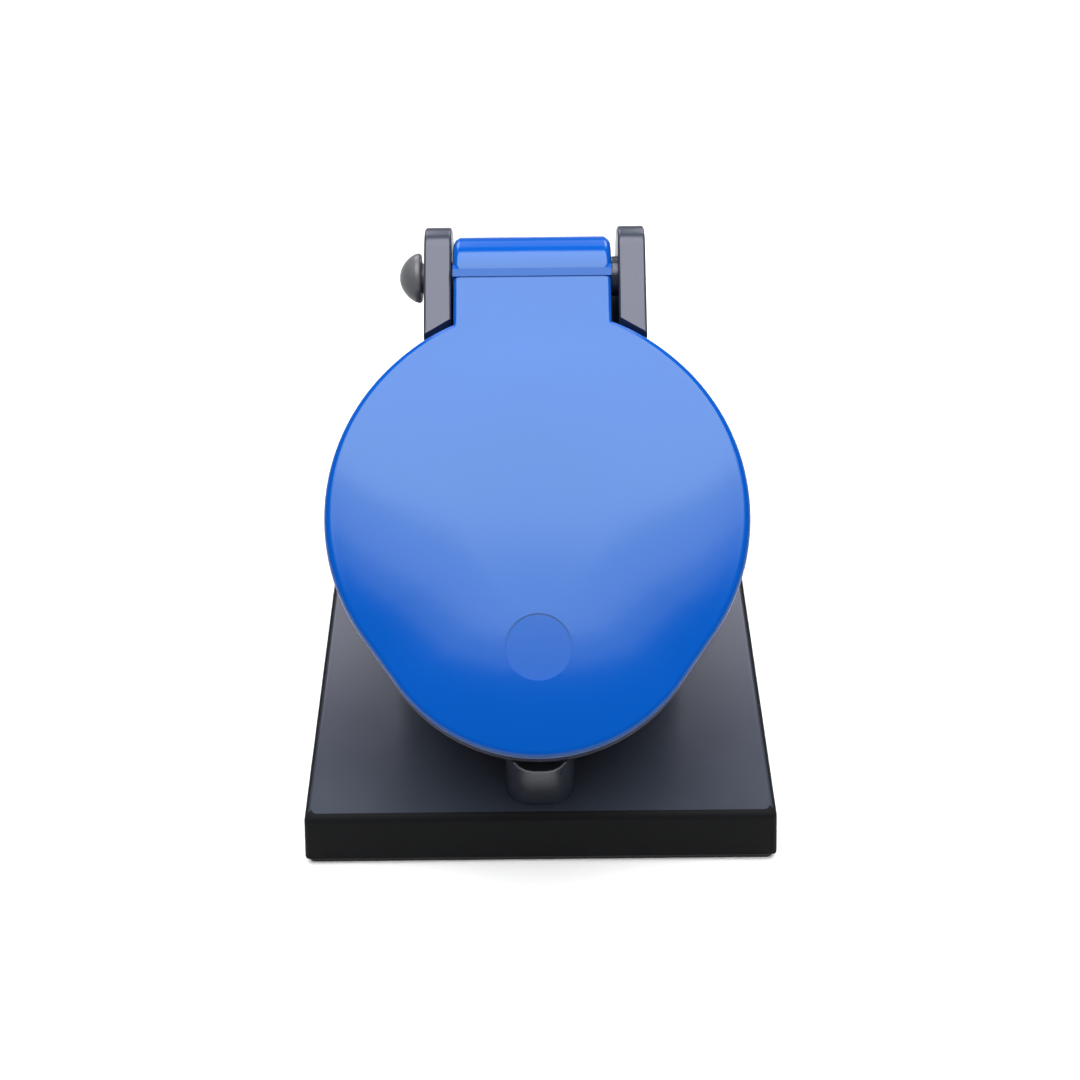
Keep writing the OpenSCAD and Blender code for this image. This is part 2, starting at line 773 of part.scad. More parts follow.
// Spring rings that close the sleeves on the pins
module sleeve_springs() {
    ring_l = 4;
    ring_back = 2;
    ring_z = -carrier_recess - sleeve_recess - ring_back - ring_l;
    color(steel) on_collar() for (c = contacts) at_contact(c) translate([0, 0, ring_z]) difference() {
        cylinder(r = ring_r(c[1]), h = ring_l);
        translate([0, 0, -eps]) cylinder(r = sleeve_r(c[1]) + pin_fit, h = ring_l + 2 * eps);
    }
}

// Slotted clamp screws, facing the wall side
module terminal_screws() {
    proud = 0.6;
    slot_w = 0.5;
    slot_depth = 0.8;
    color(steel) on_collar() for (c = contacts) at_contact(c)
        translate([0, -wire_d / 2 - seat, screw_z]) rotate([90, 0, 0]) difference() {
            cylinder(d = terminal_screw_d, h = pillar_r(c[1]) - wire_d / 2 + proud);
            translate([-terminal_screw_d, -slot_w / 2, pillar_r(c[1]) - wire_d / 2 + proud - slot_depth])
                cube([2 * terminal_screw_d, slot_w, slot_depth + eps]);
        }
}

// Lid

// Eases from 0 to 1
function ease(t) = let (u = min(1, max(0, t))) u * u * (3 - 2 * u);

// Top of the neck, and its share in the lid's top at a point of the plan
function neck_top(y) = crease_z - crease_step + (crease_y - y) * tan(neck_fall);
function neck_share(p) = ease((p[1] - lid_r + blend_run) / (blend_run - lid_edge_r))
    * (1 - ease((max(p[0] - knuckle_x1, knuckle_x0 - p[0])) / blend_side));

// The lid's plan, shrunk by a step: the egg with the neck's tongue, which is drawn back into the dome
function lid_plan(step, pull) =
    let (r = lid_r - step, x0 = knuckle_x0 + eps + step / 2, x1 = knuckle_x1 - eps - step / 2)
    concat(
        arc([0, 0], r, -egg_a, acos(x1 / r) - 2 * pull, rim_steps),
        [for (i = [0 : neck_steps]) let (x = x1 + (x0 - x1) * i / neck_steps)
            [x, neck_end_y + (sqrt(r * r - x * x) - neck_end_y) * pull]],
        arc([0, 0], r, acos(x0 / r) + 2 * pull, 180 + egg_a, rim_steps),
        arc([0, -lobe_drop], lobe_r - step, 180 + egg_a, 360 - egg_a, lobe_steps));

// Height of the shallow dome at a point of a ring
function dome_z(p, step) =
    let (inside = p[1] > 0 ? lid_r - norm(p) : step, t = min(1, max(0, (inside - lid_edge_r) / dome_run)))
    lid_h + lid_crown * (1 - pow(1 - t, 2));

function edge_ring(a) = [for (p = lid_plan(lid_edge_r * (1 - cos(a)), 0))
    [p[0], p[1], lid_h - lid_edge_r * (1 - sin(a)) + neck_share(p) * (neck_top(p[1]) - lid_h)]];
function dome_ring(i) = let (step = lid_edge_r + dome_run * i / dome_rings)
    [for (p = lid_plan(step, min(1, i / 3))) let (z = dome_z(p, step))
        [p[0], p[1], z + neck_share(p) * (neck_top(p[1]) - z)]];

module lid_top() {
    tongue = [for (i = [rim_steps : rim_steps + neck_steps + 2]) i];
    disc = concat([for (i = [0 : rim_steps]) i],
        [for (i = [rim_steps + neck_steps + 2 : 2 * rim_steps + neck_steps + lobe_steps + 3]) i]);
    loft(concat([at_z(lid_plan(0, 0), lid_gap)],
        [for (a = [0 : 22.5 : 90]) edge_ring(a)], [for (i = [1 : dome_rings]) dome_ring(i)]), [tongue, disc]);
}

// Barrel round the pin, with chamfered ends, and the block that steps up to it from the neck
module knuckle() {
    translate([knuckle_x0, hinge_y, hinge_z]) rotate([0, 90, 0]) rotate_extrude() polygon([[0, 0],
        [knuckle_r - knuckle_edge, 0], [knuckle_r, knuckle_edge], [knuckle_r, knuckle_w - knuckle_edge],
        [knuckle_r - knuckle_edge, knuckle_w], [0, knuckle_w]]);
    along_x(knuckle_x0, knuckle_w) polygon([[crease_y, hinge_z], [hinge_y, hinge_z],
        [hinge_y, hinge_z + knuckle_r - pin_fit], [crease_y, crease_z]]);
}

module lid_hollow() {
    translate([0, 0, lid_gap - eps]) linear_extrude(lid_roof_z - lid_gap + eps) polygon(egg(-lid_wall));
    cylinder(r = bore_r - dish_in, h = lid_roof_z + dish_t);
}

// Nose inside the lid's tip that holds the plug in
module lid_nose() {
    nose_w = 7;
    nose_t = 2.2;
    translate([-nose_w / 2, -lobe_drop - lobe_r + lid_wall - eps, 2 * lid_gap])
        cube([nose_w, nose_t, lid_roof_z]);
}

module spring_bay() {
    rod_x(-spring_bay_w / 2, spring_bay_w, spring_bay_r, hinge_y, hinge_z);
    translate([-spring_bay_w / 2, spring_slot_y, hinge_z - 2 * knuckle_r])
        cube([spring_bay_w, hinge_y - spring_slot_y, 2 * knuckle_r + spring_r + spring_wire_d]);
    translate([-spring_bay_w / 2, hinge_y - eps, hinge_z - 2 * knuckle_r])
        cube([spring_bay_w, spring_bay_r + eps, 2 * knuckle_r]);
}

module lid() {
    color(blue) on_collar() difference() {
        union() {
            difference() {
                union() {
                    lid_top();
                    knuckle();
                }
                lid_hollow();
            }
            lid_nose();
        }
        spring_bay();
        rod_x(-ear_in_x, ear_gap, pin_d / 2 + pin_fit, hinge_y, hinge_z);
        translate([coil_x1, spring_slot_y + eps, hinge_z + spring_r]) rotate([90, 0, 0])
            cylinder(d = spring_wire_d + seat, h = spring_slot_y - spring_leg_y + spring_leg_gap);
        translate([0, -disc_drop, lid_h + lid_crown * disc_rise]) rotate([disc_lean, 0, 0])
            cylinder(d = disc_d, h = lid_crown);
    }
}

// Flat ring that the lip presses into, with a tongue over the keyway
module lid_gasket() {
    gasket_t = lid_roof_z - lip_h - gasket_gap;
    tab_w = key_w + 2 * collar_wall + 2 * gasket_tab_lap;
    hole_w = key_w - 2 * gasket_tab_lap;
    color(black) on_collar() translate([0, 0, lid_roof_z - gasket_t]) linear_extrude(gasket_t) difference() {
        union() {
            circle(r = gasket_r);
            translate([-tab_w / 2, -bore_r - key_depth - collar_wall - gasket_tab_lap])
                square([tab_w, key_depth + collar_wall + gasket_tab_lap]);
        }
        circle(r = bore_r - gasket_bore_lap);
        translate([-hole_w / 2, gasket_tab_lap - bore_r - key_depth])
            square([hole_w, key_depth + 2 * gasket_tab_lap]);
    }
}

// Path of the spring's wire: foot on the web, coil round the pin, leg into the neck
coil_steps = 14;
coil_end = 360 * spring_turns + 90;
coil_x1 = spring_turns * spring_pitch / 2;
spring_path = concat(
    [for (z = [spring_foot_z, (spring_foot_z + hinge_z) / 2]) [-coil_x1, hinge_y + spring_r, z]],
    [for (i = [0 : spring_turns * coil_steps + 4])
        let (a = coil_end * i / (spring_turns * coil_steps + 4))
        [coil_x1 * (2 * a / coil_end - 1), hinge_y + spring_r * cos(a), hinge_z + spring_r * sin(a)]],
    [for (y = [hinge_y - spring_leg_run, spring_leg_y]) [coil_x1, y, hinge_z + spring_r]]);

function unit(v) = v / norm(v);
function heading(path, i) = unit(path[min(i + 1, len(path) - 1)] - path[max(i - 1, 0)]);

// A ring of points round a path, square to it
function wire_ring(path, i, r, sides) =
    let (t = heading(path, i), n = unit(cross(t, [1, 0, 0])), b = cross(t, n))
    [for (k = [0 : sides - 1]) path[i] + r * (cos(360 * k / sides) * n + sin(360 * k / sides) * b)];

module lid_spring() {
    color(steel) on_collar() loft([for (i = [0 : len(spring_path) - 1])
        wire_ring(spring_path, i, spring_wire_d / 2, 8)]);
}

module hinge_pin() {
    dome_l = pin_head_l * 0.7;
    rim_l = pin_head_l - dome_l;
    color(grey) on_collar() {
        rod_x(pin_head_x - eps, pin_tip_x - pin_head_x + eps, pin_d / 2, hinge_y, hinge_z);
        translate([pin_head_x, hinge_y, hinge_z]) rotate([0, -90, 0]) rotate_extrude()
            polygon(concat([[0, 0], [pin_head_d / 2 - rim_l / 2, 0], [pin_head_d / 2, rim_l]],
                [for (a = [15 : 15 : 75]) [pin_head_d / 2 * cos(a), rim_l + dome_l * sin(a) * 0.97]],
                [[0, pin_head_l]]));
    }
}

// Cable gland

module gland_body() {
    color(black) on_entry(boss_face_y) difference() {
        union() {
            translate([0, 0, -gland_thread_l]) cylinder(d = gland_d, h = gland_thread_l + eps);
            hex(gland_af, gland_hex_t);
            cylinder(r = spigot_r, h = gland_hex_t + spigot_l);
        }
        translate([0, 0, -gland_thread_l - eps])
            cylinder(r = gland_bore_r, h = gland_thread_l + gland_hex_t + spigot_l + 2 * eps);
        translate([0, 0, gland_hex_t + seal_floor]) cylinder(r = seal_r + pin_fit, h = spigot_l);
    }
}

module gland_seal() {
    seal_l = spigot_l - seal_floor + seal_proud;
    color([0.2, 0.2, 0.21]) on_entry(spigot_y + seal_floor) difference() {
        cylinder(r = seal_r, h = seal_l);
        translate([0, 0, -eps]) cylinder(d = cable_d, h = seal_l + 2 * eps);
    }
}

module gland_nut() {
    af = gland_af - 2 * nut_step;
    hex_l = nut_l * 0.55;
    mouth_r = cable_d / 2 + nut_mouth_gap;
    roof = spigot_l + nut_roof_gap;
    nose_r = mouth_r + nut_nose;
    color(black) on_entry(spigot_y + seat) difference() {
        union() {
            hex(af, hex_l);
            rotate_extrude() polygon(concat([[0, 0]],
                [for (a = [0 : 15 : 75])
                    [nose_r + (af / 2 - nose_r) * cos(a), hex_l + (nut_l - hex_l) * sin(a)]],
                [[mouth_r + nut_lip, nut_l], [0, nut_l]]));
        }
        translate([0, 0, -eps]) cylinder(r = spigot_r + seat / 2, h = roof + eps);
        cylinder(r = mouth_r, h = nut_l + eps);
    }
}

module gland_locknut() {
    color(black) on_entry(box_rear_y - wall - locknut_t - pin_fit) difference() {
        hex(gland_af, locknut_t);
        translate([0, 0, -eps]) cylinder(r = gland_d / 2 + pin_fit, h = locknut_t + 2 * eps);
    }
}

back_plate();
plate_gasket();
hood();
hood_screws();
contact_carrier();
carrier_screws();
contact_retainer();
retainer_screw();
line_contact();
neutral_contact();
earth_contact();
sleeve_springs();
terminal_screws();
lid();
lid_gasket();
lid_spring();
hinge_pin();
gland_body();
gland_seal();
gland_nut();
gland_locknut();
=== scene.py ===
"""Looks of the angled surface socket: finished pieces, materials, studio and camera.

Lengths are written in millimetres, except in the studio, where they are in metres.
The socket's own frame has its origin on the flange face, with +Z out of the socket.
"""

import math

import bmesh
import bpy
from mathutils import Matrix, Vector


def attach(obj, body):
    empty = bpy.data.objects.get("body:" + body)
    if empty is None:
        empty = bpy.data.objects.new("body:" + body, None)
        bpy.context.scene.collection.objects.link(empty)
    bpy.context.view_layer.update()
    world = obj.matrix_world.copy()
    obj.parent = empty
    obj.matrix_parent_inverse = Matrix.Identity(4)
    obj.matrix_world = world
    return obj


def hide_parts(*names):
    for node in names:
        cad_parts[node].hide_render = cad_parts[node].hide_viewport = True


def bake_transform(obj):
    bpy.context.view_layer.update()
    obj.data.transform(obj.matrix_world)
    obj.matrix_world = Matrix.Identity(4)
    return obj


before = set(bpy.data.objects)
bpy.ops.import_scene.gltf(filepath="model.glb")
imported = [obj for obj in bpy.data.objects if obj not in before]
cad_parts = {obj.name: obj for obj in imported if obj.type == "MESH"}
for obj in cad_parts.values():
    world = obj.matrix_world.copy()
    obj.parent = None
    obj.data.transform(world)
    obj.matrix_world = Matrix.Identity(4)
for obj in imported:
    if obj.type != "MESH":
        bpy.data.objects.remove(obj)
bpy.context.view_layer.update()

MM = 0.001
TILT = math.radians(35)
RIM_CENTRE = Vector((0, -24.8977, 56.2121))
SOCKET = Matrix.Scale(MM, 4) @ Matrix.Translation(RIM_CENTRE) @ Matrix.Rotation(TILT, 4, "X")


# Materials

def linear(code):
    """An sRGB hex colour as linear RGBA."""
    parts = [int(code[i:i + 2], 16) / 255 for i in (1, 3, 5)]
    return (*[c / 12.92 if c <= 0.04045 else ((c + 0.055) / 1.055) ** 2.4 for c in parts], 1)


def add(tree, kind, inputs=None, **settings):
    """Adds a node with its settings, and its inputs as values or as links."""
    node = tree.nodes.new(kind)
    for key, value in settings.items():
        setattr(node, key, value)
    for key, value in (inputs or {}).items():
        if isinstance(value, bpy.types.NodeSocket):
            tree.links.new(value, node.inputs[key])
        else:
            node.inputs[key].default_value = value
    return node


def blank_material(name):
    material = bpy.data.materials.new(name)
    material.use_nodes = True
    material.node_tree.nodes.clear()
    return material, material.node_tree


# Cloudy smears on bare metal: their size, and how far they change its tone and its roughness
SMEAR_MM, SMEAR_TONE, SMEAR_ROUGH = 3, (0.88, 1.06), (-0.06, 0.08)


def per_mm(size):
    """Noise scale for features of a size in millimetres."""
    return 1 / (size * MM)


def moulding(name, code, rough, cloud_mm, grain_mm, grain_depth, shader=None, cloud=0.05,
             rough_spread=0.04):
    """Moulded plastic, dyed right through, with the melt's faint clouds and the mould's grain."""
    material, tree = blank_material(name)
    place = add(tree, "ShaderNodeTexCoord").outputs["Object"]
    flow = add(tree, "ShaderNodeTexNoise", {
        "Vector": place, "Scale": per_mm(cloud_mm), "Detail": 3.0}).outputs["Fac"]
    grain = add(tree, "ShaderNodeTexNoise", {
        "Vector": place, "Scale": per_mm(grain_mm), "Detail": 2.0}).outputs["Fac"]
    tone = add(tree, "ShaderNodeMapRange", {
        "Value": flow, "To Min": 1 - cloud, "To Max": 1 + cloud})
    colour = add(tree, "ShaderNodeHueSaturation", {
        "Color": linear(code), "Value": tone.outputs["Result"]})
    gloss = add(tree, "ShaderNodeMapRange", {
        "Value": flow, "To Min": rough - rough_spread, "To Max": rough + rough_spread})
    bump = add(tree, "ShaderNodeBump", {
        "Height": grain, "Strength": 1.0, "Distance": grain_depth * MM})
    surface = add(tree, "ShaderNodeBsdfPrincipled", {
        "Base Color": colour.outputs["Color"], "Roughness": gloss.outputs["Result"],
        "Normal": bump.outputs["Normal"], **(shader or {})})
    add(tree, "ShaderNodeOutputMaterial", {"Surface": surface.outputs["BSDF"]})
    return material


def turned_metal(name, code, rough, mark_mm, mark_depth):
    """Turned, drawn or plated metal: tool marks, drawn coarser than real ones so that they show."""
    material, tree = blank_material(name)
    place = add(tree, "ShaderNodeTexCoord").outputs["Object"]
    smear = add(tree, "ShaderNodeTexNoise", {
        "Vector": place, "Scale": per_mm(SMEAR_MM), "Detail": 4.0}).outputs["Fac"]
    marks = add(tree, "ShaderNodeTexNoise", {
        "Vector": place, "Scale": per_mm(mark_mm), "Detail": 2.0}).outputs["Fac"]
    tone = add(tree, "ShaderNodeMapRange", {
        "Value": smear, "To Min": SMEAR_TONE[0], "To Max": SMEAR_TONE[1]})
    colour = add(tree, "ShaderNodeHueSaturation", {
        "Color": linear(code), "Value": tone.outputs["Result"]})
    gloss = add(tree, "ShaderNodeMapRange", {
        "Value": smear, "To Min": rough + SMEAR_ROUGH[0], "To Max": rough + SMEAR_ROUGH[1]})
    bump = add(tree, "ShaderNodeBump", {
        "Height": marks, "Strength": 1.0, "Distance": mark_depth * MM})
    surface = add(tree, "ShaderNodeBsdfPrincipled", {
        "Base Color": colour.outputs["Color"], "Metallic": 1.0,
        "Roughness": gloss.outputs["Result"], "Normal": bump.outputs["Normal"]})
    add(tree, "ShaderNodeOutputMaterial", {"Surface": surface.outputs["BSDF"]})
    return material


# Glossy polyamide from a polished mould: a clear sheen over deep blue, with a trace of orange peel
BLUE_GLOSS = moulding(
    "blue_gloss_polyamide", "#005AC4", 0.14, 14, 2.6, 0.0025,
    {"Specular IOR Level": 0.6, "Specular Tint": linear("#E7FFE9")}, cloud=0.03, rough_spread=0.02)
# Satin polyamide from a finely blasted mould: dark cool grey, soft reflections
GREY_SATIN = moulding(
    "grey_satin_polyamide", "#3E4450", 0.22, 16, 0.9, 0.0012,
    {"Specular IOR Level": 0.74, "Specular Tint": linear("#EDEAFF")}, cloud=0.1, rough_spread=0.07)
# The same grey painted darker, as shade, on the skirt, the deck's front edge and the keel's top;
# rough like a spark-eroded mould wall, nearly without gloss
GREY_ERODED_PAINTED_SHADE = moulding(
    "grey_eroded_polyamide_painted_shade", "#1A1B1D", 0.62, 9, 0.9, 0.004, {"Specular IOR Level": 0.1})
# The same grey painted pale, as a thin highlight line along the keel's top edge
GREY_PAINTED_HIGHLIGHT = moulding("grey_polyamide_painted_highlight", "#85868D", 0.4, 3, 0.9, 0.003)
# Grey acetal of the hinge pin, turned smooth: an even, slightly waxy sheen
GREY_ACETAL = moulding("grey_turned_acetal", "#6C6D71", 0.3, 5, 0.9, 0.0015)
# Black polyamide from an etched mould: a low sheen, broken by a fine grain
BLACK_SATIN = moulding("black_etched_polyamide", "#17181B", 0.42, 8, 0.45, 0.01)
# Pressed thermoset of the contact carrier: dense and dark, with a dry, dull highlight
INSERT_MATT = moulding("dark_pressed_thermoset", "#26282D", 0.4, 7, 0.5, 0.008)
# Moulded rubber of the seals: soft black that scatters the light, almost without a highlight
RUBBER = moulding(
    "black_moulded_rubber", "#141414", 0.68, 5, 0.4, 0.015, {"Specular IOR Level": 0.3})
# Turned brass of the contacts: warm yellow, its highlights broken by tool marks
BRASS = turned_metal("turned_brass", "#C49A52", 0.26, 0.22, 0.002)
# Zinc-plated steel of the screws: pale, slightly cloudy silver
ZINC = turned_metal("zinc_plated_steel", "#A6A9AD", 0.46, 0.4, 0.003)
# Drawn spring wire: darker steel with a narrow highlight along the wire
SPRING_STEEL = turned_metal("drawn_spring_steel", "#9EA1A6", 0.28, 0.3, 0.002)

FINISH = {
    "back_plate": BLACK_SATIN, "plate_gasket": RUBBER, "hood": GREY_SATIN, "hood_screws": ZINC,
    "contact_carrier": INSERT_MATT, "carrier_screws": ZINC, "contact_retainer": BLACK_SATIN,
    "retainer_screw": ZINC, "line_contact": BRASS, "neutral_contact": BRASS, "earth_contact": BRASS,
    "sleeve_springs": SPRING_STEEL, "terminal_screws": ZINC, "lid": BLUE_GLOSS,
    "lid_gasket": RUBBER, "lid_spring": SPRING_STEEL, "hinge_pin": GREY_ACETAL,
    "gland_body": BLACK_SATIN, "gland_seal": RUBBER, "gland_nut": BLACK_SATIN,
    "gland_locknut": BLACK_SATIN,
}
for node, finish in FINISH.items():
    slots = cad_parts[node].data.materials
    slots.clear()
    slots.append(finish)


# Pieces

# Faces that lie within this angle of each other are one flat
FLAT = math.cos(math.radians(0.3))


def flats(bm):
    """The flat that each face lies in, by number, and the area of each flat."""
    flat_of, areas = {}, []
    for seed in bm.faces:
        if seed.index in flat_of:
            continue
        flat_of[seed.index] = len(areas)
        ahead, area = [seed], 0.0
        while ahead:
            face = ahead.pop()
            area += face.calc_area()
            for other in {f for e in face.edges for f in e.link_faces}:
                if other.index not in flat_of and other.normal.dot(seed.normal) > FLAT:
                    flat_of[other.index] = len(areas)
                    ahead.append(other)
        areas.append(area)
    return flat_of, areas


def even_normals(mesh, smooth):
    """Corner normals: large flats stay flat, and the narrow faces between them shade as rounds."""
    bm = bmesh.new()
    bm.from_mesh(mesh)
    flat_of, areas = flats(bm)
    limit = math.cos(math.radians(smooth))
    normals = []
    for face in bm.faces:
        for corner in face.loops:
            near = {flat_of[f.index]: f.normal for f in corner.vert.link_faces
                    if f.normal.dot(face.normal) > limit}
            mean = sum((normal * areas[flat] for flat, normal in near.items()), Vector())
            normals.append(mean.normalized())
    bm.free()
    mesh.shade_smooth()
    mesh.normals_split_custom_set(normals)


def show(name, mesh, body, node, finish, smooth=35, twist=None):
    """Puts a mesh in the place of a CAD node: on a body, or, with twist given, baked where it
    stands on no body.
    """
    for material in finish:
        mesh.materials.append(material)
    even_normals(mesh, smooth)
    piece = bpy.data.objects.new(name, mesh)
    bpy.context.scene.collection.objects.link(piece)
    if twist:
        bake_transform(piece)
    else:
        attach(piece, body)
    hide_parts(node)


def baked(bm, name):
    mesh = bpy.data.meshes.new(name)
    bm.to_mesh(mesh)
    bm.free()
    return mesh


def combine(base, tool, operation):
    """Joins or cuts one closed mesh with another."""
    pair = [bpy.data.objects.new("form", mesh) for mesh in (base, tool)]
    for form in pair:
        bpy.context.scene.collection.objects.link(form)
    step = pair[0].modifiers.new("step", "BOOLEAN")
    step.object = pair[1]
    step.operation = operation
    step.solver = "EXACT"
    depsgraph = bpy.context.evaluated_depsgraph_get()
    made = bpy.data.meshes.new_from_object(pair[0].evaluated_get(depsgraph))
    for form in pair:
        mesh = form.data
        bpy.data.objects.remove(form)
        bpy.data.meshes.remove(mesh)
    return made


def rod(radius, length, centre, axis, segments=64):
    """A closed cylinder along X, Y or Z, turned half a facet to keep its corners off others."""
    bm = bmesh.new()
    turn = {"X": Matrix.Rotation(math.pi / 2, 4, "Y"),
            "Y": Matrix.Rotation(math.pi / 2, 4, "X"), "Z": Matrix()}[axis]
    half_facet = Matrix.Rotation(math.pi / segments, 4, "Z")
    bmesh.ops.create_cone(bm, cap_ends=True, segments=segments, radius1=radius, radius2=radius,
                          depth=length, matrix=Matrix.Translation(centre) @ turn @ half_facet)
    return baked(bm, "rod")


def block(low, high):
    """A closed box between two corners."""
    bm = bmesh.new()
    low, high = Vector(low), Vector(high)
    size = Matrix.Diagonal((*(high - low), 1))
    bmesh.ops.create_cube(bm, size=1, matrix=Matrix.Translation((low + high) / 2) @ size)
    return baked(bm, "block")


# Lid: an egg-shaped plate with a shallow dome that runs into the hinge's neck

LID_R, LOBE_R, LOBE_DROP = 34.7, 28, 11.5
LID_GAP, LID_H, LID_CROWN, LID_EDGE = 0.4, 6, 2, 1.4
DOME_RUN = 0.8 * LOBE_R
LID_WALL, LID_ROOF = 2.2, 4.6
EGG_TURN = math.asin((LID_R - LOBE_R) / LOBE_DROP)
HINGE_Y, HINGE_Z = 42.5, -1
KNUCKLE_LEFT, KNUCKLE_RIGHT, KNUCKLE_R, KNUCKLE_EDGE = -13.75, 12.85, 6.8, 1.1
CHAMFER_IN, CHAMFER_DOWN = 0.3, 0.45
CREASE_Y, CREASE_Z, CREASE_STEP = 40.3, 5.55, 0.25
NECK_END, NECK_FALL, NECK_EDGE, NECK_IN = 41.3, math.radians(5), 0.8, 0.1
NECK_LEFT, NECK_RIGHT = KNUCKLE_LEFT + NECK_IN, KNUCKLE_RIGHT - NECK_IN
BLEND_RUN, BLEND_SIDE = 12, 13
DISC_Y, DISC_R, DISC_Z, DISC_DEPTH, DISC_LEAN = -22, 5.3, 7.5, 2, math.radians(3)
# Round dish in the roof, and the corners of the nose inside the tip
DISH_R, DISH_DEPTH, DISH_MID = 24, 4, 3.6
NOSE_LOW, NOSE_HIGH = (-3.5, -37.4, 0.8), (3.5, -35.1, 5.4)
# Rings set in from the rim: close together round its edge, wide apart over the dome
RIM_INSETS = (0.06, 0.2, 0.42, 0.7, 1.02, 1.4)
DOME_INSETS = (2.2, 3.4, 5, 7, 9, 11, 13, 15, 17, 19, 21, 22.6, 23.8)
# Steps of the rim's arc, the tip's arc and a full turn, and the neck's rows
RIM_STEPS, TIP_STEPS, TURN_STEPS, NECK_ROWS = 112, 40, 96, 5
# Fine steps at the neck's corners, in degrees, and how far the others keep off them, in radians
CORNER_TURNS, STEP_CLEAR = (-1.6, -1.0, -0.5, -0.2, 0, 0.2, 0.5, 1.0, 1.6), 0.015
# Small offsets that keep joined and cut forms from sharing a plane
CUT_PAST, JOIN_LAP, SIDE_STEP, FLOOR_STEP, FACE_SINK = 0.2, 0.1, 0.03, 0.013, 0.6
# Room for rounding, and the distance within which points are one
SLACK, SAME = 1e-4, 1e-5


def ease(t):
    t = min(1, max(0, t))
    return t * t * (3 - 2 * t)


def neck_share(x, y):
    """1 on the neck, falling to 0 down the dome and along the rim."""
    aside = max(x - KNUCKLE_RIGHT, KNUCKLE_LEFT - x)
    return ease((y - LID_R + BLEND_RUN) / (BLEND_RUN - LID_EDGE)) * (1 - ease(aside / BLEND_SIDE))


def egg(fine=()):
    """The lid's outline: the turn of each point, and whether it lies on the tip's arc."""
    start, end = -EGG_TURN, math.pi + EGG_TURN
    even = [start + (end - start) * i / RIM_STEPS for i in range(RIM_STEPS + 1)]
    rim = sorted([a for a in even if all(abs(a - b) > STEP_CLEAR for b in fine)] + list(fine))
    tip = [end + (math.pi - 2 * EGG_TURN) * i / TIP_STEPS for i in range(TIP_STEPS + 1)]
    return [(a, False) for a in rim] + [(a, True) for a in tip]


def egg_point(turn, tip, inset, z=0.0):
    radius = (LOBE_R if tip else LID_R) - inset
    return Vector((radius * math.cos(turn), radius * math.sin(turn) - LOBE_DROP * tip, z))


def lid_top():
    """The closed outer form: rings set in from the rim, the neck drawn out of it, the heights."""
    corners = [math.acos(NECK_RIGHT / LID_R), math.acos(NECK_LEFT / LID_R)]
    outline = egg([corner + math.radians(turn) for corner in corners for turn in CORNER_TURNS])
    bm = bmesh.new()
    inset = bm.verts.layers.float.new("inset")
    face = bm.faces.new([bm.verts.new(egg_point(turn, tip, 0)) for turn, tip in outline])
    for depth in RIM_INSETS + DOME_INSETS:
        # Any thickness does, because each point then goes to its place on the ring
        bmesh.ops.inset_region(bm, faces=[face], thickness=0.01, use_boundary=True)
        for v, (turn, tip) in zip(face.verts, outline):
            v.co = egg_point(turn, tip, depth)
            v[inset] = depth
    low, high = NECK_LEFT - SLACK, NECK_RIGHT + SLACK
    row = [e for e in bm.edges if e.is_boundary
           and all(low <= v.co.x <= high and v.co.y > 0 for v in e.verts)]
    for part in range(1, NECK_ROWS + 1):
        made = bmesh.ops.extrude_edge_only(bm, edges=row)["geom"]
        row = [g for g in made if isinstance(g, bmesh.types.BMEdge)]
        for v in {v for e in row for v in e.verts}:
            arc_y = math.sqrt(LID_R ** 2 - v.co.x ** 2)
            v.co.y = arc_y + (NECK_END - arc_y) * part / NECK_ROWS
            v[inset] = -1
    for v in bm.verts:
        x, y, step = v.co.x, v.co.y, v[inset]
        t = min(1, max(0, (step - LID_EDGE) / DOME_RUN))
        dome = LID_H + LID_CROWN * (1 - (1 - t) ** 2)
        neck = CREASE_Z - CREASE_STEP + (CREASE_Y - y) * math.tan(NECK_FALL)
        share = neck_share(x, y)
        if y > 0 and low <= x <= high:
            step = min(math.hypot(x - side, max(0, math.sqrt(LID_R ** 2 - side ** 2) - y))
                       for side in (NECK_LEFT, NECK_RIGHT))
        edge = LID_EDGE + (NECK_EDGE - LID_EDGE) * share
        fall = edge - math.sqrt(edge ** 2 - max(0, edge - step) ** 2)
        v.co.z = dome + share * (neck - dome) - fall
    wall = [e for e in bm.edges if e.is_boundary]
    made = bmesh.ops.extrude_edge_only(bm, edges=wall)["geom"]
    for v in made:
        if isinstance(v, bmesh.types.BMVert):
            v.co.z = LID_GAP
    bmesh.ops.holes_fill(bm, edges=[e for e in bm.edges if e.is_boundary])
    bmesh.ops.recalc_face_normals(bm, faces=bm.faces)
    return baked(bm, "lid")


def turned(outline, start):
    """A form turned round the hinge pin's axis: lengths along the pin from its start, and radii."""
    bm = bmesh.new()
    points = [bm.verts.new((start + x, HINGE_Y, HINGE_Z + r)) for x, r in outline]
    edges = [bm.edges.new(pair) for pair in zip(points, points[1:])]
    bmesh.ops.spin(bm, geom=points + edges, cent=(0, HINGE_Y, HINGE_Z), axis=(1, 0, 0),
                   angle=2 * math.pi, steps=TURN_STEPS, use_merge=True)
    bmesh.ops.remove_doubles(bm, verts=bm.verts, dist=SAME)
    bmesh.ops.recalc_face_normals(bm, faces=bm.faces)
    return baked(bm, "turned")


def barrel():
    """The knuckle's round, with eased chamfers at its ends."""
    width, cut = KNUCKLE_RIGHT - KNUCKLE_LEFT, KNUCKLE_EDGE
    outline = [(0, 0), (0, KNUCKLE_R - cut),
               (cut * CHAMFER_IN, KNUCKLE_R - cut * CHAMFER_DOWN), (cut, KNUCKLE_R)]
    return turned(outline + [(width - x, r) for x, r in reversed(outline)], KNUCKLE_LEFT)


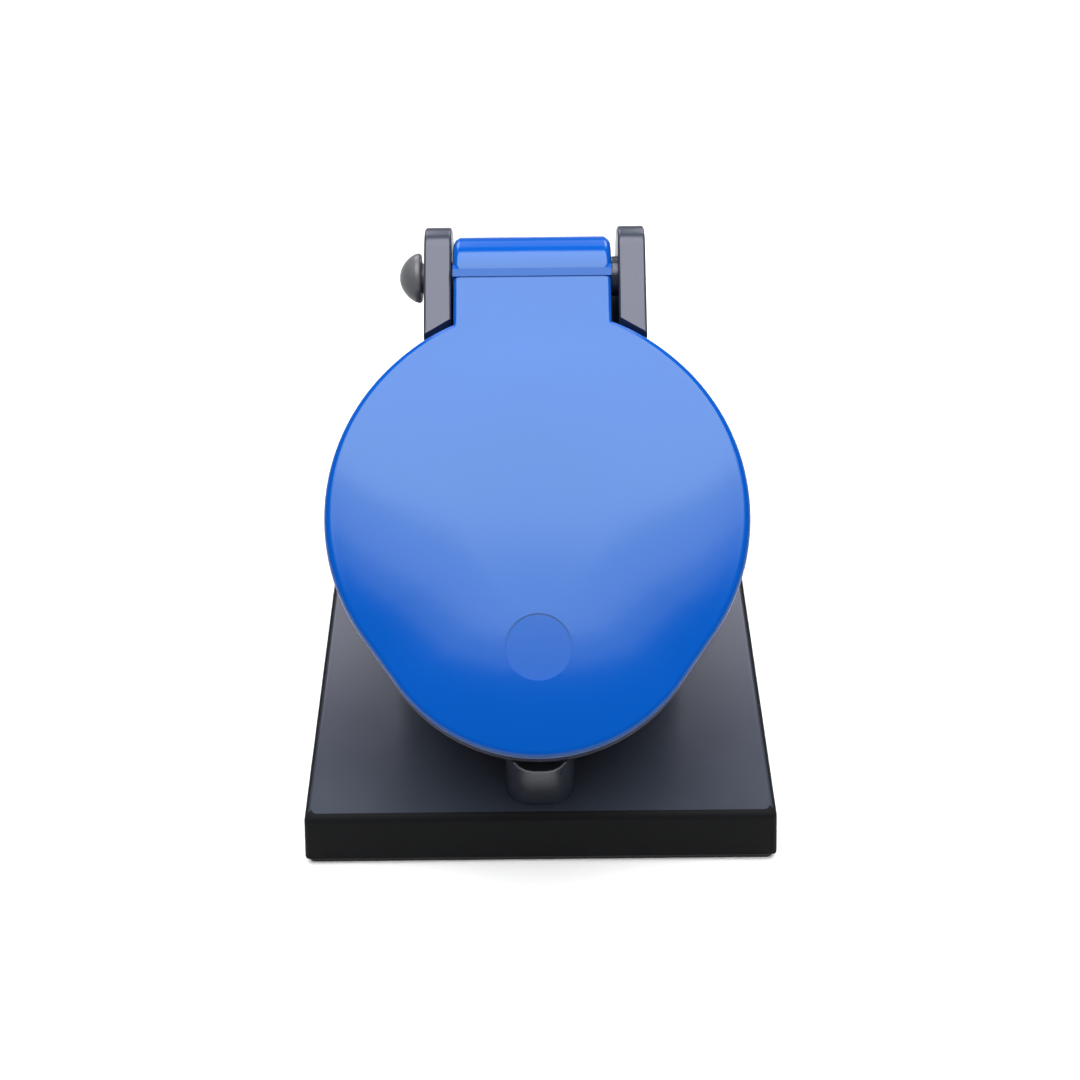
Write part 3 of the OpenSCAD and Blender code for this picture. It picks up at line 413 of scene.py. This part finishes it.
def drawn_out(bm, face, run):
    """A closed form drawn out of a face along a run."""
    made = bmesh.ops.extrude_face_region(bm, geom=[face])["geom"]
    ends = [g for g in made if isinstance(g, bmesh.types.BMVert)]
    bmesh.ops.translate(bm, verts=ends, vec=run)
    bmesh.ops.recalc_face_normals(bm, faces=bm.faces)
    return baked(bm, "drawn_out")


def prism(outline, low, high):
    """A side profile, in Y and Z, drawn out along X."""
    bm = bmesh.new()
    face = bm.faces.new([bm.verts.new((low, y, z)) for y, z in outline])
    return drawn_out(bm, face, (high - low, 0, 0))


def hollow():
    """The space inside the lid's skirt."""
    bm = bmesh.new()
    face = bm.faces.new([bm.verts.new(egg_point(turn, tip, LID_WALL, LID_GAP - CUT_PAST))
                         for turn, tip in egg()])
    return drawn_out(bm, face, (0, 0, LID_ROOF - LID_GAP + CUT_PAST))


def knuckle_face():
    """The step up from the neck: its face leaves the crease straight and touches the barrel."""
    crease = Vector((CREASE_Y - HINGE_Y, CREASE_Z - HINGE_Z))
    touch = math.atan2(crease.y, crease.x) - math.acos(KNUCKLE_R / crease.length)
    face_end = (HINGE_Y + KNUCKLE_R * math.cos(touch), HINGE_Z + KNUCKLE_R * math.sin(touch))
    outline = [(CREASE_Y, HINGE_Z - JOIN_LAP), (HINGE_Y, HINGE_Z - JOIN_LAP),
               (HINGE_Y, HINGE_Z + KNUCKLE_R - FACE_SINK), face_end, (CREASE_Y, CREASE_Z)]
    return prism(outline, KNUCKLE_LEFT + SIDE_STEP, KNUCKLE_RIGHT - SIDE_STEP)


def disc_recess():
    """The round recess near the tip, leaned along the dome."""
    recess = rod(DISC_R, DISC_DEPTH, (0, 0, DISC_DEPTH / 2), "Z", TURN_STEPS)
    recess.transform(Matrix.Translation((0, DISC_Y, DISC_Z)) @ Matrix.Rotation(DISC_LEAN, 4, "X"))
    return recess


# Spring bay in the knuckle, the pin's bore on both sides of it, and the hole for the spring's leg
BAY_HALF, BAY_R, BAY_FRONT, BAY_FLOOR, BAY_ROOF = 4.125, 5.1, 34.5, -14.6, 3.6
PIN_BORE_R, PIN_BORE_L, PIN_BORE_X = 2.55, 16, 12
LEG_HOLE_R, LEG_HOLE_L, LEG_HOLE_IN, LEG_HOLE_STEPS = 0.6, 3, 1, 24
SPRING_R, SPRING_WIRE, SPRING_TURNS, SPRING_HALF = 3.6, 1.0, 4, 2.5
SPRING_FOOT, LEG_END = -14, 33.3

lid = combine(lid_top(), barrel(), "UNION")
lid = combine(lid, knuckle_face(), "UNION")
lid = combine(lid, hollow(), "DIFFERENCE")
lid = combine(lid, rod(DISH_R, DISH_DEPTH, (0, 0, DISH_MID), "Z", TURN_STEPS), "DIFFERENCE")
lid = combine(lid, block(NOSE_LOW, NOSE_HIGH), "UNION")
for tool in (
        rod(BAY_R, 2 * BAY_HALF, (0, HINGE_Y, HINGE_Z), "X"),
        block((-BAY_HALF, BAY_FRONT, BAY_FLOOR), (BAY_HALF, HINGE_Y, BAY_ROOF)),
        block((-BAY_HALF, HINGE_Y - JOIN_LAP, BAY_FLOOR),
              (BAY_HALF, HINGE_Y + BAY_R, HINGE_Z + FLOOR_STEP)),
        rod(PIN_BORE_R, PIN_BORE_L, (-PIN_BORE_X, HINGE_Y, HINGE_Z), "X"),
        rod(PIN_BORE_R, PIN_BORE_L, (PIN_BORE_X, HINGE_Y, HINGE_Z), "X"),
        rod(LEG_HOLE_R, LEG_HOLE_L, (SPRING_HALF, LEG_END + LEG_HOLE_IN, HINGE_Z + SPRING_R), "Y",
            LEG_HOLE_STEPS),
        disc_recess()):
    lid = combine(lid, tool, "DIFFERENCE")
lid.transform(SOCKET)
show("lid_moulding", lid, "lid", "lid", [BLUE_GLOSS])


# Hinge pin: a plain shank with a slightly pointed dome for a head

PIN_R, PIN_TIP, PIN_EASE = 2.5, 18.1, 0.3
PIN_HEAD_X, PIN_HEAD_R, PIN_HEAD_L, PIN_RIM, PIN_RIM_EASE = -19.4, 4.2, 3.8, 0.7, 0.25
PIN_ROOT_R, DOME_STEPS, CONE_SHARE = PIN_R + 0.35, 20, 0.22


def dome_radius(t):
    """A round dome with a share of a cone in it."""
    return PIN_HEAD_R * ((1 - CONE_SHARE) * math.sqrt(1 - t * t) + CONE_SHARE * (1 - t))


dome = [(-PIN_RIM - (PIN_HEAD_L - PIN_RIM) * math.sin(a), dome_radius(math.sin(a)))
        for a in (math.pi / 2 * i / DOME_STEPS for i in range(DOME_STEPS + 1))]
shank = PIN_TIP - PIN_HEAD_X
pin_outline = list(reversed(dome)) + [
    (-PIN_RIM_EASE, PIN_HEAD_R), (0, PIN_HEAD_R - PIN_RIM_EASE), (0, PIN_ROOT_R), (PIN_EASE, PIN_R),
    (shank - PIN_EASE, PIN_R), (shank, PIN_R - PIN_EASE), (shank, 0)]
pin = turned(pin_outline, PIN_HEAD_X)
pin.transform(SOCKET)
show("hinge_pin_turned", pin, "housing", "hinge_pin", [GREY_ACETAL])


# Lid spring: drawn wire, its foot on the web, its coil round the pin and its leg in the neck

FOOT_HEIGHTS, COIL_STEPS, LEG_RUNS = (SPRING_FOOT, -10.5, -7.5, -4.5), 102, (2, 6)
coil_turn = 2 * math.pi * SPRING_TURNS + math.pi / 2
coil = [coil_turn * i / COIL_STEPS for i in range(COIL_STEPS + 1)]
wire = [(-SPRING_HALF, HINGE_Y + SPRING_R, z) for z in FOOT_HEIGHTS]
wire += [(SPRING_HALF * (2 * a / coil_turn - 1), HINGE_Y + SPRING_R * math.cos(a),
          HINGE_Z + SPRING_R * math.sin(a)) for a in coil]
leg = [HINGE_Y - run for run in LEG_RUNS] + [LEG_END]
wire += [(SPRING_HALF, y, HINGE_Z + SPRING_R) for y in leg]
curve = bpy.data.curves.new("spring_wire", "CURVE")
curve.dimensions = "3D"
curve.bevel_depth = SPRING_WIRE / 2
curve.bevel_resolution = 3
curve.use_fill_caps = True
line = curve.splines.new("POLY")
line.points.add(len(wire) - 1)
for point, place in zip(line.points, wire):
    point.co = (*place, 1)
former = bpy.data.objects.new("former", curve)
bpy.context.scene.collection.objects.link(former)
depsgraph = bpy.context.evaluated_depsgraph_get()
spring = bpy.data.meshes.new_from_object(former.evaluated_get(depsgraph))
bpy.data.objects.remove(former)
bpy.data.curves.remove(curve)
spring.transform(SOCKET)
# The coil's ends on the pin's axis are passed on, and the wire is baked where it stands, on no body
twist_x = SPRING_HALF - SPRING_WIRE / 2
coil_ends = [SOCKET @ Vector((x, HINGE_Y, HINGE_Z)) for x in (-twist_x, twist_x)]
show("lid_spring_wire", spring, None, "lid_spring", [SPRING_STEEL], smooth=50,
     twist=coil_ends)


# Pieces that keep their CAD form, with whole faces and smooth rounds

def merged(node):
    """A merged copy of a CAD node's mesh."""
    bm = bmesh.new()
    bm.from_mesh(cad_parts[node].data)
    bmesh.ops.remove_doubles(bm, verts=bm.verts, dist=0.001 * MM)
    return bm


DECK_Z, DECK_MARGIN = 12.6 * MM, 0.01 * MM
KEEL_TOP, KEEL_TOP_SPAN, KEEL_TOP_MARGIN = Vector((0, -57.4, 32.1)) * MM, 6 * MM, 0.3 * MM
KEEL_EDGE_DROP, HIGHLIGHT_WIDTH = MM, 0.3 * MM
OUT_OF_SOCKET = Vector((0, -math.sin(TILT), math.cos(TILT)))
# Least part of a face's normal to the rear, upwards, towards +Y and out of the socket
TO_REAR, UPWARDS, NOT_TO_FRONT, OUTWARDS = 0.5, 0.9, -0.02, 0.999
# The hood's finishes, by their place in its list: satin, painted shade, painted highlight
SATIN, PAINTED_SHADE, PAINTED_HIGHLIGHT = 0, 1, 2


def crosses_deck(face):
    """Whether a face of the rear wall reaches from below the deck's height to above it."""
    heights = [v.co.z for v in face.verts]
    return face.normal.y > TO_REAR and min(heights) < DECK_Z < max(heights)


def on_keel_top(face):
    away = face.calc_center_median() - KEEL_TOP
    return (away.length < KEEL_TOP_SPAN and abs(away.dot(OUT_OF_SOCKET)) < KEEL_TOP_MARGIN
            and face.normal.dot(OUT_OF_SOCKET) > OUTWARDS)


bm = merged("hood")
# The skirt's finish, painted shade, ends level with the deck, also on the rear wall
rear = [f for f in bm.faces if crosses_deck(f)]
rear += list({g for f in rear for g in (*f.edges, *f.verts)})
bmesh.ops.bisect_plane(bm, geom=rear, plane_co=(0, 0, DECK_Z), plane_no=(0, 0, 1))
bm.normal_update()
# Below the deck, every face but the level ones, the front edge's round too, takes the painted shade
for face in bm.faces:
    under = face.calc_center_median().z < DECK_Z - DECK_MARGIN
    level = face.normal.z >= UPWARDS and face.normal.y >= NOT_TO_FRONT
    face.material_index = PAINTED_SHADE if under and not level else SATIN
# The keel's top takes the painted shade too, for the lid's shadow on it, with a painted highlight
# line where it meets the keel's sides
keel_top = [f for f in bm.faces if on_keel_top(f)]
for face in keel_top:
    face.material_index = PAINTED_SHADE
# The rim's faces over the keel's sides are the painted highlight, the rest painted shade
rim = bmesh.ops.inset_region(bm, faces=keel_top, thickness=HIGHLIGHT_WIDTH, use_even_offset=True)["faces"]
for face in rim:
    beside = [f.calc_center_median().z for e in face.edges for f in e.link_faces]
    face.material_index = PAINTED_HIGHLIGHT if min(beside) < KEEL_TOP.z - KEEL_EDGE_DROP else PAINTED_SHADE
show("hood_moulding", baked(bm, "hood"), "housing", "hood",
     [GREY_SATIN, GREY_ERODED_PAINTED_SHADE, GREY_PAINTED_HIGHLIGHT])
for node, slot in (("gland_body", "gland_moulding"), ("gland_nut", "gland_moulding"),
                   ("back_plate", "black_moulding")):
    show(node + "_moulding", baked(merged(node), node), "housing", node, [FINISH[node]])


# Camera, at the photograph's angle

CAMERA_AT = Vector((0.4, -195.4, 221.8)) * MM
PITCH, ROLL = math.radians(45), math.radians(-0.6)
camera = bpy.data.cameras.new("camera")
camera.lens = 47.77
camera.sensor_width = 36
camera.clip_start = 0.01
eye = bpy.data.objects.new("camera", camera)
eye.location = CAMERA_AT
eye.rotation_euler = (Matrix.Rotation(PITCH, 3, "X") @ Matrix.Rotation(ROLL, 3, "Z")).to_euler()
bpy.context.scene.collection.objects.link(eye)
bpy.context.scene.camera = eye


# Studio

def lamp(name, shape, size, at, aim, radiance):
    """A soft box: its power is set from the radiance of its face."""
    light = bpy.data.lights.new(name, "AREA")
    light.shape = shape
    light.size, light.size_y = size
    area = size[0] * size[1] * (math.pi / 4 if shape == "ELLIPSE" else 1)
    light.energy = radiance * math.pi * area
    box = bpy.data.objects.new(name, light)
    box.location = at
    box.rotation_euler = (Vector(aim) - Vector(at)).to_track_quat("-Z", "Y").to_euler()
    bpy.context.scene.collection.objects.link(box)


def toward(elevation):
    """A direction over the object, from 0 in front through 90 overhead to 180 behind."""
    return Vector((0, -math.cos(math.radians(elevation)), math.sin(math.radians(elevation))))


# Three discs overhead, one inside the other, fade the sheen on the lid towards its front edge
KEY_DISTANCE = 0.9
lid_centre = RIM_CENTRE * MM
for name, elevation, size, radiance in (
        ("key_wide", 82.5, (1.36, 1.19), 1.2),
        ("key", 84.5, (1.3, 1.02), 1.4),
        ("key_core", 88, (1.2, 0.8), 2.0)):
    lamp(name, "ELLIPSE", size, lid_centre + toward(elevation) * KEY_DISTANCE, lid_centre, radiance)
# Panels behind, bright at both sides and dim between them, give the deck its sheen
BACK_DISTANCE, BACK_ELEVATION, BACK_HEIGHT, BACK_AIM_Z = 1.1, 143, 0.56, 0.02
for name, x, width, radiance in (
        ("back_left", -0.33, 0.42, 3.6),
        ("back", 0, 0.24, 0.6),
        ("back_right", 0.33, 0.42, 3.6)):
    lamp(name, "RECTANGLE", (width, BACK_HEIGHT),
         toward(BACK_ELEVATION) * BACK_DISTANCE + Vector((x, 0, 0)), (x, 0, BACK_AIM_Z), radiance)

world = bpy.data.worlds.new("studio")
world.use_nodes = True
world.node_tree.nodes.clear()
dim = add(world.node_tree, "ShaderNodeBackground", {"Color": linear("#DDE1E8"), "Strength": 0.08})
add(world.node_tree, "ShaderNodeOutputWorld", {"Surface": dim.outputs["Background"]})
bpy.context.scene.world = world

# White sweep: pale where it is seen or mirrored, duller in the light that it throws on the object
GLOW_NEAR, GLOW_FAR, GLOW_MOST = 0.1, 0.7, 0.7
sweep, tree = blank_material("white_sweep")
ray = add(tree, "ShaderNodeLightPath").outputs
seen = add(tree, "ShaderNodeMath", {0: ray["Is Camera Ray"], 1: ray["Is Glossy Ray"]},
           operation="MAXIMUM")
seen = add(tree, "ShaderNodeMath", {0: seen.outputs[0], 1: ray["Is Transmission Ray"]},
           operation="MAXIMUM")
place = add(tree, "ShaderNodeTexCoord").outputs["Object"]
away = add(tree, "ShaderNodeVectorMath", {0: place}, operation="LENGTH").outputs["Value"]
# For the camera it glows away from the object, so that only the contact shadow shows on the white
lit = add(tree, "ShaderNodeMapRange", {
    "Value": away, "From Min": GLOW_NEAR, "From Max": GLOW_FAR, "To Min": 0.0, "To Max": GLOW_MOST})
glow = add(tree, "ShaderNodeEmission", {"Color": (1, 1, 1, 1), "Strength": lit.outputs["Result"]})
paper = add(tree, "ShaderNodeBsdfDiffuse", {"Color": linear("#E4E4E4")}).outputs[0]
more = add(tree, "ShaderNodeBsdfDiffuse", {"Color": linear("#BCBCBC")}).outputs[0]
bright = add(tree, "ShaderNodeAddShader", {0: paper, 1: more}).outputs[0]
bright = add(tree, "ShaderNodeAddShader", {0: bright, 1: glow.outputs[0]}).outputs[0]
white = add(tree, "ShaderNodeMixShader", {0: ray["Is Camera Ray"], 1: paper, 2: bright})
dull = add(tree, "ShaderNodeBsdfDiffuse", {"Color": linear("#7A7A7A")})
both = add(tree, "ShaderNodeMixShader", {
    0: seen.outputs[0], 1: dull.outputs[0], 2: white.outputs[0]})
add(tree, "ShaderNodeOutputMaterial", {"Surface": both.outputs[0]})

# Floor with a wall that curves up all round, out of the camera's view: radii and heights
FLOOR_PROFILE = [(0, 0), (1.4, 0), (1.62, 0.02), (1.78, 0.09), (1.87, 0.2), (1.9, 0.32), (1.9, 0.5)]
FLOOR_STEPS = 64
bm = bmesh.new()
points = [bm.verts.new((x, 0, z)) for x, z in FLOOR_PROFILE]
edges = [bm.edges.new(pair) for pair in zip(points, points[1:])]
bmesh.ops.spin(bm, geom=points + edges, cent=(0, 0, 0), axis=(0, 0, 1), angle=2 * math.pi,
               steps=FLOOR_STEPS, use_merge=True)
bmesh.ops.remove_doubles(bm, verts=bm.verts, dist=SAME)
bmesh.ops.recalc_face_normals(bm, faces=bm.faces)
bmesh.ops.reverse_faces(bm, faces=bm.faces)
floor = bpy.data.objects.new("floor", baked(bm, "floor"))
floor.data.materials.append(sweep)
floor.data.shade_smooth()
bpy.context.scene.collection.objects.link(floor)

bpy.context.scene.view_settings.view_transform = "Standard"
